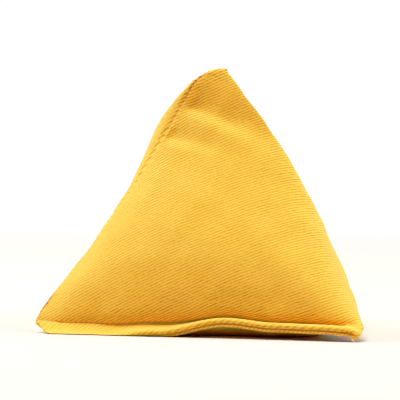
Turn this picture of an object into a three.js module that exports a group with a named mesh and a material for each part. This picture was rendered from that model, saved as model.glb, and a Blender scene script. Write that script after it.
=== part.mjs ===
// Pyramid bean bag of yellow cotton drill, standing on its base panel.
//
// One strip of cloth, four triangles long, is folded across three times into a tetrahedron of four panels. Seams
// close the left edge of the front panel, the back edge and the front bottom edge, which is closed last as a lip
// of two turned-in edges. Beans fill it loosely: the panels are crowned, the top is an empty flat ear, and the
// base is pressed flat where it rests.
//
// Millimetres. +Z is up, +X runs along the closing lip, -Y is the front. The floor is at z = 0, and the finished
// bag is moved so that the middle of its bounding box stands over the origin.

import * as THREE from 'three';

// Fineness of the mesh
const STEPS = 40;                    // triangles along each edge of a panel
const EDGE_LENGTH = 105;             // finished length of each edge of the bag
const PANEL_HEIGHT = EDGE_LENGTH * Math.sqrt(3) / 2;

// Corners of the filled bag as it stands
const CORNERS = {
  left: new THREE.Vector3(-55.8, 0.5, 4.1),
  right: new THREE.Vector3(51.5, 1.5, 4.0),
  back: new THREE.Vector3(-0.5, 89.5, 4.0),
  top: new THREE.Vector3(3.6, 26, 83.2),
};

// How far each edge strays from a straight line, one third and two thirds of the way along it.
// overshoot is where the edge would end if it did not hook over to the top corner in its last stretch.
const EDGES = [
  { from: 'left', to: 'right', third: [0, 4.5, 0], twoThirds: [0, 4.5, 0], overshoot: [0, 0, 0], sewn: true },
  { from: 'left', to: 'top', third: [12.3, 9, 11.5], twoThirds: [4, -8, 0], overshoot: [-3, 0, 9.5], sewn: true },
  { from: 'back', to: 'top', third: [0, 0, 2], twoThirds: [-2, -5, 0], overshoot: [0, 0, 0], sewn: true },
  { from: 'right', to: 'top', third: [1, 2, -2], twoThirds: [2.5, -1, 5.5], overshoot: [0, 0, 0], sewn: false },
  { from: 'left', to: 'back', third: [2.5, -2, 0], twoThirds: [2, -1, 0], overshoot: [0, 0, 0], sewn: false },
  { from: 'right', to: 'back', third: [-1, -1, 0], twoThirds: [-1, -1, 0], overshoot: [0, 0, 0], sewn: false },
];
const HOOK_START = 0.8;              // share of an edge after which it hooks over to the top corner

// crown: how far the filling pushes the panel out at its fullest.
// high: pull of the third corner on the fullest place (1 is the middle, more is nearer that corner).
// round: below 1 the panel leaves its edges more steeply and is flatter in the middle.
const PANELS = [
  { name: 'front', corners: ['left', 'right', 'top'], crown: 10, high: 0.6, round: 0.72 },
  { name: 'right', corners: ['right', 'back', 'top'], crown: 7.7, high: 0.8, round: 0.75 },
  { name: 'left', corners: ['back', 'left', 'top'], crown: 12, high: 1.9, round: 0.58 },
  { name: 'base', corners: ['left', 'back', 'right'], crown: 10, high: 1, round: 0.6 },
];

// The folded edges have no seam, so the cloth runs round them in a soft bend.
const BEND_REACH = 14;               // width of the bend on each side of a folded edge
const BEND_ROUNDS = 4;               // passes of evening out

// There are no beans in the top, so its two layers draw together into a flat ear, square to a leaning line.
// start: where the drawing in begins, full: where the layers meet, middle: the plane they meet in.
const EAR = { lean: 15, start: 20, full: 74, thinness: 0.17, middle: 14 };

// Soft folds of the front panel below the ear, along slanting lines.
// at: height of the fold measured square to its line. start: where it leaves the sewn edge, measured along its line.
const FOLDS = [
  { lean: 23, at: 64.4, start: -36, reach: 30, valley: 1.7, valleyWidth: 2.2, ridge: 1.7, ridgeWidth: 4.4 },
  { lean: 14, at: 57.9, start: -27, reach: 22, valley: 0.8, valleyWidth: 2.0, ridge: 0.8, ridgeWidth: 3.6 },
];
const FOLD_WRAP = 4;                 // how far a fold runs on past the sewn edge onto the left panel

// The closing lip: an upper and a lower turned-in edge, sewn together a little behind their folds.
const LIP = { width: 4.4, upper: 1.9, lower: 1.3, groove: 0.9, gap: 0.8 };

// lift: how far the lip's middle line stands above the floor. droop: how far the lip hangs down, in degrees.
const LIP_STATIONS = [
  { along: 0.00, lift: 1.9, droop: 18 },
  { along: 0.20, lift: 1.9, droop: 18 },
  { along: 0.38, lift: 2.8, droop: 12 },
  { along: 0.58, lift: 4.4, droop: 2 },
  { along: 0.72, lift: 3.4, droop: 4 },
  { along: 0.88, lift: 2.7, droop: 4 },
  { along: 1.00, lift: 2.2, droop: 6 },
];
const LIP_END = { inset: 4.5, length: 12 };  // the lip's outer corners are cut off on a slant of this size
const LIP_CLEARANCE = 0.3;           // lowest point of the lip above the floor
const STITCH_LINE_RISE = 1.0;        // how much higher the sewn line lies than the lip's own middle line

const cloth = new THREE.MeshStandardMaterial({ color: 0xf2b94a, roughness: 0.92, metalness: 0 });

const vector = (parts) => new THREE.Vector3(...parts);
const clamp = (value) => Math.min(1, Math.max(0, value));
const smooth = (value) => clamp(value) * clamp(value) * (3 - 2 * clamp(value));
const radians = (degrees) => degrees * Math.PI / 180;

// Reads a column of the lip's stations, evenly blended between them.
function lipStation(along, column) {
  const after = Math.max(1, LIP_STATIONS.findIndex((row) => row.along >= along));
  const [low, high] = [LIP_STATIONS[after - 1], LIP_STATIONS[after]];
  return THREE.MathUtils.lerp(low[column], high[column], smooth((along - low.along) / (high.along - low.along)));
}

function isLipEdge(edge) {
  return edge.from === 'left' && edge.to === 'right';
}

// The point of an edge, a share of the way along it from its first corner.
function edgePoint(edge, share) {
  const start = CORNERS[edge.from];
  const end = CORNERS[edge.to].clone().add(vector(edge.overshoot));
  const third = start.clone().lerp(end, 1 / 3).add(vector(edge.third));
  const twoThirds = start.clone().lerp(end, 2 / 3).add(vector(edge.twoThirds));
  const point = new THREE.CubicBezierCurve3(start, third, twoThirds, end).getPoint(share);
  const hook = clamp((share - HOOK_START) / (1 - HOOK_START));
  point.addScaledVector(vector(edge.overshoot), -hook * hook);
  if (isLipEdge(edge)) point.z = lipStation(share, 'lift') + STITCH_LINE_RISE;
  return point;
}

// The point between two corners, a share of the way from the first to the second.
function between(first, second, share) {
  const straight = EDGES.find((edge) => edge.from === first && edge.to === second);
  if (straight) return edgePoint(straight, share);
  return edgePoint(EDGES.find((edge) => edge.from === second && edge.to === first), 1 - share);
}

// Spans a panel smoothly between its three edge curves. weights are its three shares of the corners.
function spannedPoint(panel, weights) {
  const point = new THREE.Vector3();
  for (let i = 0; i < 3; i += 1) {
    const here = panel.corners[i];
    const others = [(i + 1) % 3, (i + 2) % 3];
    const corner = between(here, panel.corners[others[0]], 0);
    const part = corner.clone().negate();
    for (const other of others) part.add(between(here, panel.corners[other], weights[other]));
    point.addScaledVector(part, weights[i]);
  }
  return point;
}

function outward(panel) {
  const [first, second, third] = panel.corners.map((name) => CORNERS[name]);
  return new THREE.Vector3().crossVectors(second.clone().sub(first), third.clone().sub(first)).normalize();
}

// How much of the ear's flatness a point has, from its height square to the ear's slanting line.
function earShare(point) {
  const height = point.z * Math.cos(radians(EAR.lean)) + point.x * Math.sin(radians(EAR.lean));
  return smooth((height - EAR.start) / (EAR.full - EAR.start));
}

// Height of the panel's crown, from nothing on its edges to the full crown at its fullest place.
function crownHeight(panel, weights) {
  const pulls = [1, 1, panel.high];
  const sum = 2 + panel.high;
  let share = 1;
  pulls.forEach((pull, i) => { share *= (weights[i] * sum / pull) ** pull; });
  return panel.crown * share ** panel.round;
}

// Presses the two layers of the top together above the ear's slanting line.
function pressEar(point) {
  const layer = THREE.MathUtils.lerp(1, EAR.thinness, earShare(point));
  point.y = EAR.middle + (point.y - EAR.middle) * layer;
}

// Sinks each fold's valley into the front and raises the ridge just below it.
function foldCloth(point, share) {
  for (const fold of FOLDS) {
    const lean = radians(fold.lean);
    const height = point.z * Math.cos(lean) + point.x * Math.sin(lean);
    const run = point.x * Math.cos(lean) - point.z * Math.sin(lean);
    const fade = share * smooth(1 - (run - fold.start) / fold.reach);
    const above = (height - fold.at) / fold.valleyWidth;
    const below = (height - fold.at) / fold.ridgeWidth + 1;
    point.y += fade * (fold.valley * Math.exp(-above * above) - fold.ridge * Math.exp(-below * below));
  }
}

// A grid of points over one panel, shared with its neighbours along the edges.
class Body {
  constructor() {
    this.points = [];
    this.faces = [];
    this.softness = [];
    this.shared = new Map();
  }

  // The number of a point, made once for every place named by its corners' counts.
  pointAt(panel, counts) {
    const used = counts.map((count, i) => [panel.corners[i], count]).filter(([, count]) => count > 0);
    const onBase = panel.name === 'base';
    const key = used.map((pair) => pair.join(' ')).sort().join(', ');
    const onLip = used.length === 2 && used.every(([name]) => name === 'left' || name === 'right');
    const fullKey = onLip ? `${key}${onBase ? ' below' : ' above'}` : key;
    if (!this.shared.has(fullKey)) {
      this.shared.set(fullKey, this.points.length);
      this.points.push(this.shapedPoint(panel, counts, onLip, onBase));
      this.softness.push(this.bendShare(used));
    }
    return this.shared.get(fullKey);
  }

  shapedPoint(panel, counts, onLip, onBase) {
    const weights = counts.map((count) => count / STEPS);
    const point = spannedPoint(panel, weights);
    point.addScaledVector(outward(panel), crownHeight(panel, weights));
    if (!onBase) pressEar(point);
    if (panel.name === 'front') foldCloth(point, 1);
    if (panel.name === 'left') foldCloth(point, clamp(1 - weights[0] * PANEL_HEIGHT / FOLD_WRAP));
    if (onLip) point.z += (onBase ? -LIP.gap : LIP.gap) / 2;
    return point;
  }

  // How strongly a point is evened out: fully on a folded edge, and not at all on a seam.
  bendShare(used) {
    const share = Object.fromEntries(used.map(([name, count]) => [name, count / STEPS]));
    const sewn = EDGES.some((edge) => edge.sewn && used.length === 2 && share[edge.from] && share[edge.to]);
    if (sewn || used.length === 1) return 0;
    let strongest = 0;
    for (const edge of EDGES.filter((row) => !row.sewn)) {
      const [first, second] = [share[edge.from] ?? 0, share[edge.to] ?? 0];
      const distance = (1 - first - second) * PANEL_HEIGHT;
      strongest = Math.max(strongest, clamp(1 - distance / BEND_REACH) * clamp(8 * Math.min(first, second)));
    }
    return strongest;
  }

  addPanel(panel) {
    const at = (i, j) => this.pointAt(panel, [i, j, STEPS - i - j]);
    for (let i = 0; i < STEPS; i += 1) {
      for (let j = 0; j < STEPS - i; j += 1) {
        this.faces.push([at(i + 1, j), at(i, j + 1), at(i, j)]);
        if (i + j < STEPS - 1) this.faces.push([at(i + 1, j), at(i + 1, j + 1), at(i, j + 1)]);
      }
    }
  }

  // Moves every soft point part of the way to the middle of its neighbours, several times over.
  bendFoldedEdges() {
    const neighbours = this.points.map(() => new Set());
    for (const [a, b, c] of this.faces) {
      neighbours[a].add(b).add(c);
      neighbours[b].add(a).add(c);
      neighbours[c].add(a).add(b);
    }
    for (let round = 0; round < BEND_ROUNDS; round += 1) {
      const middles = neighbours.map((near) => {
        const middle = new THREE.Vector3();
        near.forEach((index) => middle.addScaledVector(this.points[index], 1 / near.size));
        return middle;
      });
      this.points.forEach((point, i) => point.lerp(middles[i], this.softness[i]));
    }
  }

  restOnFloor() {
    for (const point of this.points) point.z = Math.max(0, point.z);
  }

  // The lip's section, from the front panel round both folds to the base panel.
  // out is measured away from the bag and up square to it, before the lip droops.
  lipSection() {
    const { width, upper, lower, groove } = LIP;
    return [
      { out: width * 0.30, up: upper * 0.85 },
      { out: width * 0.72, up: upper },
      { out: width * 0.95, up: upper * 0.82 },
      { out: width, up: upper * 0.45 },
      { out: width * 0.94, up: upper * 0.10 },
      { out: width - groove, up: 0 },
      { out: width * 0.92, up: -lower * 0.20 },
      { out: width * 0.95, up: -lower * 0.55 },
      { out: width * 0.86, up: -lower * 0.92 },
      { out: width * 0.60, up: -lower },
    ];
  }

  lipPoint(column, place) {
    const along = column / STEPS;
    const sewnLine = between('left', 'right', along);
    const droop = radians(lipStation(along, 'droop'));
    const point = sewnLine.clone();
    const fromLeft = along * EDGE_LENGTH;
    const fromRight = EDGE_LENGTH - fromLeft;
    const slant = LIP_END.inset * place.out / LIP.width;
    point.x += slant * (clamp(1 - fromLeft / LIP_END.length) - clamp(1 - fromRight / LIP_END.length));
    point.y -= place.out * Math.cos(droop) + place.up * Math.sin(droop);
    point.z += place.up * Math.cos(droop) - place.out * Math.sin(droop) - STITCH_LINE_RISE;
    point.z = Math.max(LIP_CLEARANCE, point.z);
    return point;
  }

  addLip() {
    const [front, base] = [PANELS[0], PANELS[3]];
    const section = this.lipSection();
    const columns = [];
    for (let column = 0; column <= STEPS; column += 1) {
      const upperEdge = this.pointAt(front, [STEPS - column, column, 0]);
      const lowerEdge = this.pointAt(base, [STEPS - column, 0, column]);
      const folds = section.map((place) => {
        this.points.push(this.lipPoint(column, place));
        return this.points.length - 1;
      });
      columns.push([upperEdge, ...folds, lowerEdge]);
    }
    for (let column = 0; column < STEPS; column += 1) {
      const [here, next] = [columns[column], columns[column + 1]];
      for (let i = 0; i + 1 < here.length; i += 1) {
        this.addFace(here[i], here[i + 1], next[i + 1]);
        this.addFace(here[i], next[i + 1], next[i]);
      }
    }
    this.closeLipEnd(columns[0]);
    this.closeLipEnd([...columns[STEPS]].reverse());
  }

  addFace(a, b, c) {
    if (a !== b && b !== c && c !== a) this.faces.push([a, b, c]);
  }

  closeLipEnd(loop) {
    for (let i = 1; i + 1 < loop.length - 1; i += 1) this.addFace(loop[0], loop[i + 1], loop[i]);
  }

  toGeometry() {
    const geometry = new THREE.BufferGeometry();
    geometry.setFromPoints(this.points);
    geometry.setIndex(this.faces.flat());
    geometry.computeVertexNormals();
    return geometry;
  }
}

function makeBag() {
  const body = new Body();
  for (const panel of PANELS) body.addPanel(panel);
  body.bendFoldedEdges();
  body.restOnFloor();
  body.addLip();
  const geometry = body.toGeometry();
  geometry.computeBoundingBox();
  const middle = geometry.boundingBox.getCenter(new THREE.Vector3());
  geometry.translate(-middle.x, -middle.y, 0);
  const mesh = new THREE.Mesh(geometry, cloth);
  mesh.name = 'bag';
  return mesh;
}

const beanBag = new THREE.Group();
beanBag.add(makeBag());

export default beanBag;
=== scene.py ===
"""Looks of a pyramid bean bag of yellow cotton drill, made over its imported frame.

The bag is one strip of cloth, four triangles long, folded across three times and sewn up into four panels.
Here the same form as the frame's is made with fine panels, filled by a cloth simulation, and given its seams,
closing lip, stitches and weave. Sizes inside the classes are millimetres, and finished meshes are metres.
"""

import logging
import math
from dataclasses import dataclass
from enum import Enum
from functools import partial

import bpy
import numpy as np
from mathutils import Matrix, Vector


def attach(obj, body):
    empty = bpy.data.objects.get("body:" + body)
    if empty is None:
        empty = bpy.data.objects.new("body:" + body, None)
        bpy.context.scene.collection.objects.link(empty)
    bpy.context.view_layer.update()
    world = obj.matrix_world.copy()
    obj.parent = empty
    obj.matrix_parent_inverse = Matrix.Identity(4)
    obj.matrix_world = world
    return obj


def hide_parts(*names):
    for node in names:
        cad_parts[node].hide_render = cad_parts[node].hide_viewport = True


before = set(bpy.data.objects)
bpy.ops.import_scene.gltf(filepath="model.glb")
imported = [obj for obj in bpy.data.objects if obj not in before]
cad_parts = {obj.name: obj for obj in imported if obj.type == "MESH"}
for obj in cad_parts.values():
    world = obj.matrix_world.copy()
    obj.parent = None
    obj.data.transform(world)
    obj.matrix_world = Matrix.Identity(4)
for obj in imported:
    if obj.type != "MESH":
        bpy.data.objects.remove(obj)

LOG = logging.getLogger("bean_bag")
MM = 0.001
EDGE_LENGTH = 105.0
PANEL_HEIGHT = EDGE_LENGTH * math.sqrt(3) / 2
FORM_MIDDLE = np.array([-2.15, 42.76, 0.0])   # middle of the form's box, which the frame has at its origin
BAG_HEART = (0.0, 0.0, 0.04)                  # where the lights are aimed, in metres
X, Y, Z = 0, 1, 2                             # columns of a table of points
TINY = 1e-9
ON_EDGE = 1e-6                                # a point this near an edge lies on it
WHITE = "#FFFFFE"
Array = np.ndarray
Triple = tuple[float, float, float]
Piece = bpy.types.Object
Tree = bpy.types.NodeTree
Material = bpy.types.Material
Node = bpy.types.Node
Socket = bpy.types.NodeSocket


class Corner(Enum):
    """The bag's four corners, and the column that each has in a table of shares."""

    LEFT = 0
    RIGHT = 1
    BACK = 2
    TOP = 3


LIP_CORNERS = {Corner.LEFT, Corner.RIGHT}
CORNER_PLACES = {
    Corner.LEFT: np.array([-55.0, 0.5, 3.6]),
    Corner.RIGHT: np.array([51.9, 1.9, 3.6]),
    Corner.BACK: np.array([-0.5, 89.5, 4.0]),
    Corner.TOP: np.array([3.6, 26.0, 83.2]),
}


def clamped(value: Array) -> Array:
    """Holds every value between 0 and 1."""
    return np.clip(value, 0.0, 1.0)


def eased(value: Array) -> Array:
    """Runs from 0 to 1 with no sudden start or stop."""
    share = clamped(value)
    return share * share * (3.0 - 2.0 * share)


def bell(value: Array) -> Array:
    """A smooth hump, 1 at zero and fading on both sides."""
    return np.exp(-value * value)


@dataclass(frozen=True)
class Edge:
    """An edge between two corners, as a curve that strays from the straight line.

    third and two_thirds are how far it strays there. undershoot and overshoot are how far past its corners it
    would start and end, if it did not hook over to them in its first and last stretch. A folded edge is round
    up to near its start and end, and nearer the higher start_round and end_round are.
    """

    start: Corner
    end: Corner
    third: Triple
    two_thirds: Triple
    undershoot: Triple = (0.0, 0.0, 0.0)
    overshoot: Triple = (0.0, 0.0, 0.0)
    sewn: bool = False
    first_stretch: float = 0.08
    last_stretch: float = 0.2
    start_round: float = 8.0
    end_round: float = 8.0

    def points(self, share: Array) -> Array:
        """Places points on the edge.

        Args:
            share: how far along the edge each point is, from 0 to 1.

        Returns:
            One row of x, y and z for each share.
        """
        undershoot, overshoot = np.array(self.undershoot), np.array(self.overshoot)
        start = CORNER_PLACES[self.start] + undershoot
        end = CORNER_PLACES[self.end] + overshoot
        third = start + (end - start) / 3 + np.array(self.third)
        two_thirds = start + (end - start) * 2 / 3 + np.array(self.two_thirds)
        along = np.asarray(share, float)[:, None]
        rest = 1.0 - along
        curve = rest**3 * start + 3 * rest**2 * along * third
        curve = curve + 3 * rest * along**2 * two_thirds + along**3 * end
        first_hook = clamped(1.0 - along / self.first_stretch)
        last_hook = clamped(1.0 - rest / self.last_stretch)
        return curve - first_hook**2 * undershoot - last_hook**2 * overshoot


@dataclass(frozen=True)
class Panel:
    """One of the four triangles of cloth.

    crown is how far the beans push it out at its fullest. high pulls the fullest place to the third corner,
    and roundness below 1 makes the panel leave its edges more steeply. empty is the share of the crown that
    is gone at the top, where no beans are.
    """

    name: str
    corners: tuple[Corner, Corner, Corner]
    crown: float
    high: float
    roundness: float
    empty: float = 0.0

    @property
    def columns(self) -> list[int]:
        """The columns of its three corners in a table of shares."""
        return [corner.value for corner in self.corners]

    def crown_height(self, weights: Array) -> Array:
        """How far the beans push the panel out.

        Args:
            weights: each point's shares of the three corners.

        Returns:
            The height over the flat panel at each point.
        """
        pulls = np.array([1.0, 1.0, self.high])
        filled = np.prod((weights * pulls.sum() / pulls) ** pulls, axis=1)
        return self.crown * filled**self.roundness

    def outward(self) -> Array:
        """The direction square to the panel's three corners, away from the beans.

        Returns:
            A vector of length 1.
        """
        first, second, third = (CORNER_PLACES[corner] for corner in self.corners)
        across = np.cross(second - first, third - first)
        return across / np.linalg.norm(across)


@dataclass(frozen=True)
class LipStation:
    """The closing lip at one place along the front.

    lift is the height of its middle line over the floor, and droop is how far it hangs down, in degrees. rise
    is how far over the middle line the panels are sewn together.
    """

    along: float
    lift: float
    droop: float
    rise: float


@dataclass(frozen=True)
class Fold:
    """A soft fold of the front panel along a slanting line.

    lean is in degrees. at is the line's height square to itself, start is where it leaves the seam, and reach
    is how far it runs. The cloth sinks to depth at the line, over the width above it, and comes out again
    over the width below it.
    """

    lean: float
    at: float
    start: float
    reach: float
    depth: float
    above: float
    below: float


@dataclass(frozen=True)
class BagForm:
    """The bag's form as it stands: four crowned panels, a flat ear at the top and a closing lip in front."""

    edges: tuple[Edge, ...] = (
        Edge(Corner.LEFT, Corner.RIGHT, (0, 0.2, 0), (0, 2.0, 0), sewn=True),
        Edge(Corner.LEFT, Corner.TOP, (11.9, 9, 11.5), (3.2, -8, 0), (-2.4, 0, 0.3), (-3, 0, 9.5), sewn=True),
        Edge(Corner.BACK, Corner.TOP, (0, 0, 2), (-2, -5, 0), sewn=True),
        Edge(Corner.RIGHT, Corner.TOP, (-0.2, 2, -2), (4.0, -1, 6), (0.7, 0, 0), start_round=14),
        Edge(Corner.LEFT, Corner.BACK, (2.5, -2, 0), (2, -1, 0)),
        Edge(Corner.RIGHT, Corner.BACK, (-1, -1, 0), (-1, -1, 0), start_round=14),
    )
    panels: tuple[Panel, ...] = (
        Panel("front", (Corner.LEFT, Corner.RIGHT, Corner.TOP), 10, 0.78, 0.75),
        Panel("right", (Corner.RIGHT, Corner.BACK, Corner.TOP), 7.7, 0.8, 0.75),
        Panel("left", (Corner.BACK, Corner.LEFT, Corner.TOP), 13, 2.0, 0.70, 0.33),
        Panel("base", (Corner.LEFT, Corner.BACK, Corner.RIGHT), 10, 1, 0.6),
    )
    folds: tuple[Fold, ...] = (
        Fold(22.3, 63.6, -36, 62, 2.4, 6.0, 2.5),
        Fold(12.7, 57.3, -28, 25, 1.5, 3.2, 2.1),
    )
    stations: tuple[LipStation, ...] = (
        LipStation(0.00, 1.2, 48, 1.9),
        LipStation(0.20, 1.2, 48, 1.7),
        LipStation(0.38, 2.3, 26, 1.4),
        LipStation(0.59, 4.8, 2, 1.0),
        LipStation(0.73, 3.7, 4, 1.0),
        LipStation(0.88, 3.5, 4, 1.1),
        LipStation(0.95, 3.2, 4, 1.2),
        LipStation(1.00, 2.4, 6, 1.2),
    )
    at_seam: float = 0.15     # share of their depth that the folds have at the seam
    fold_start: float = 3.4   # how far from the seam they have all of it
    left_wrap: float = 1.0    # how far round the front's edges the folds carry on
    right_wrap: float = 9.0
    ear_lean: float = 15.0
    ear_start: float = 20.0
    ear_full: float = 74.0
    ear_thinness: float = 0.17
    ear_middle: float = 14.0
    empty_from: float = 58.0
    empty_full: float = 80.0
    bend_reach: float = 14.0
    bend_spread: float = 5.25  # how far the evening out of a folded edge carries, in millimetres
    plumpness: float = 0.25
    plump_reach: float = 7.0
    lip_gap: float = 0.8

    def lip_column(self, share: Array, column: str) -> Array:
        """Reads a column of the lip's stations, evenly blended between them.

        Args:
            share: how far along the lip each wanted place is, from 0 to 1.
            column: the column's name.

        Returns:
            A value for each share.
        """
        along = np.array([station.along for station in self.stations])
        values = np.array([getattr(station, column) for station in self.stations], float)
        after = np.clip(np.searchsorted(along, share), 1, len(along) - 1)
        part = eased((share - along[after - 1]) / (along[after] - along[after - 1]))
        return values[after - 1] + part * (values[after] - values[after - 1])

    def between(self, first: Corner, second: Corner, share: Array) -> Array:
        """Places points on the edge between two corners.

        Args:
            first: the corner that the shares count from.
            second: the other corner.
            share: how far along the edge each point is, from 0 to 1.

        Returns:
            One row of x, y and z for each share.
        """
        for edge in self.edges:
            if {edge.start, edge.end} != {first, second}:
                continue
            along = share if edge.start is first else 1.0 - share
            points = edge.points(along)
            if {first, second} == LIP_CORNERS:
                points[:, Z] = self.lip_column(along, "lift") + self.lip_column(along, "rise")
            return points
        raise ValueError(f"no edge joins {first} and {second}")

    def spanned(self, panel: Panel, weights: Array) -> Array:
        """Spans a panel smoothly between its three edge curves.

        Args:
            panel: the panel.
            weights: each point's shares of the panel's three corners.

        Returns:
            One row of x, y and z for each point, with no crown yet.
        """
        points = np.zeros_like(weights)
        for here in range(3):
            others = [(here + 1) % 3, (here + 2) % 3]
            part = -CORNER_PLACES[panel.corners[here]] + np.zeros_like(weights)
            if Corner.TOP is not panel.corners[here]:
                part = -self.between(panel.corners[here], panel.corners[others[0]], np.zeros(len(weights)))
            for other in others:
                part = part + self.between(panel.corners[here], panel.corners[other], weights[:, other])
            points += part * weights[:, here:here + 1]
        return points

    def ear_height(self, points: Array) -> Array:
        """How high each point is, measured along the leaning ear."""
        lean = math.radians(self.ear_lean)
        return points[:, Z] * math.cos(lean) + points[:, X] * math.sin(lean)

    def ear_share(self, points: Array) -> Array:
        """How fully each point belongs to the flat ear, from 0 to 1."""
        return eased((self.ear_height(points) - self.ear_start) / (self.ear_full - self.ear_start))

    def press_ear(self, points: Array) -> Array:
        """Draws the two layers of the empty top together into a flat ear.

        Args:
            points: one row of x, y and z for each point.

        Returns:
            The pressed points.
        """
        layer = 1.0 + (self.ear_thinness - 1.0) * self.ear_share(points)
        pressed = points.copy()
        pressed[:, Y] = self.ear_middle + (points[:, Y] - self.ear_middle) * layer
        return pressed

    def fold_depth(self, points: Array) -> Array:
        """How far the soft folds push the cloth back.

        Args:
            points: one row of x, y and z for each point.

        Returns:
            The depth at each point.
        """
        depth = np.zeros(len(points))
        for fold in self.folds:
            lean = math.radians(fold.lean)
            height = points[:, Z] * math.cos(lean) + points[:, X] * math.sin(lean)
            run = points[:, X] * math.cos(lean) - points[:, Z] * math.sin(lean)
            fade = eased(1.0 - (run - fold.start) / fold.reach)
            rise = height - fold.at
            depth += fade * fold.depth * bell(rise / np.where(rise > 0, fold.above, fold.below))
        return depth

    def panel_points(self, panel: Panel, weights: Array) -> Array:
        """Places the points of a panel, with its crown, the ear and the soft folds.

        Args:
            panel: the panel.
            weights: each point's shares of the panel's three corners.

        Returns:
            One row of x, y and z for each point.
        """
        points = self.spanned(panel, weights)
        emptied = (self.ear_height(points) - self.empty_from) / (self.empty_full - self.empty_from)
        kept = 1.0 - panel.empty * eased(emptied)
        points += panel.outward() * (panel.crown_height(weights) * kept)[:, None]
        if panel.name == "base":
            return points
        points = self.press_ear(points)
        first, second = weights[:, 0] * PANEL_HEIGHT, weights[:, 1] * PANEL_HEIGHT
        none = 0.0 * first
        inwards, outwards = {
            "front": (second / self.fold_start, none),
            "left": (none, first / self.left_wrap),
            "right": (none + 1.0, second / self.right_wrap),
        }[panel.name]
        grown = self.at_seam + (1.0 - self.at_seam) * eased(inwards)
        points[:, Y] += grown * eased(1.0 - outwards) * self.fold_depth(points)
        return points


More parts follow.
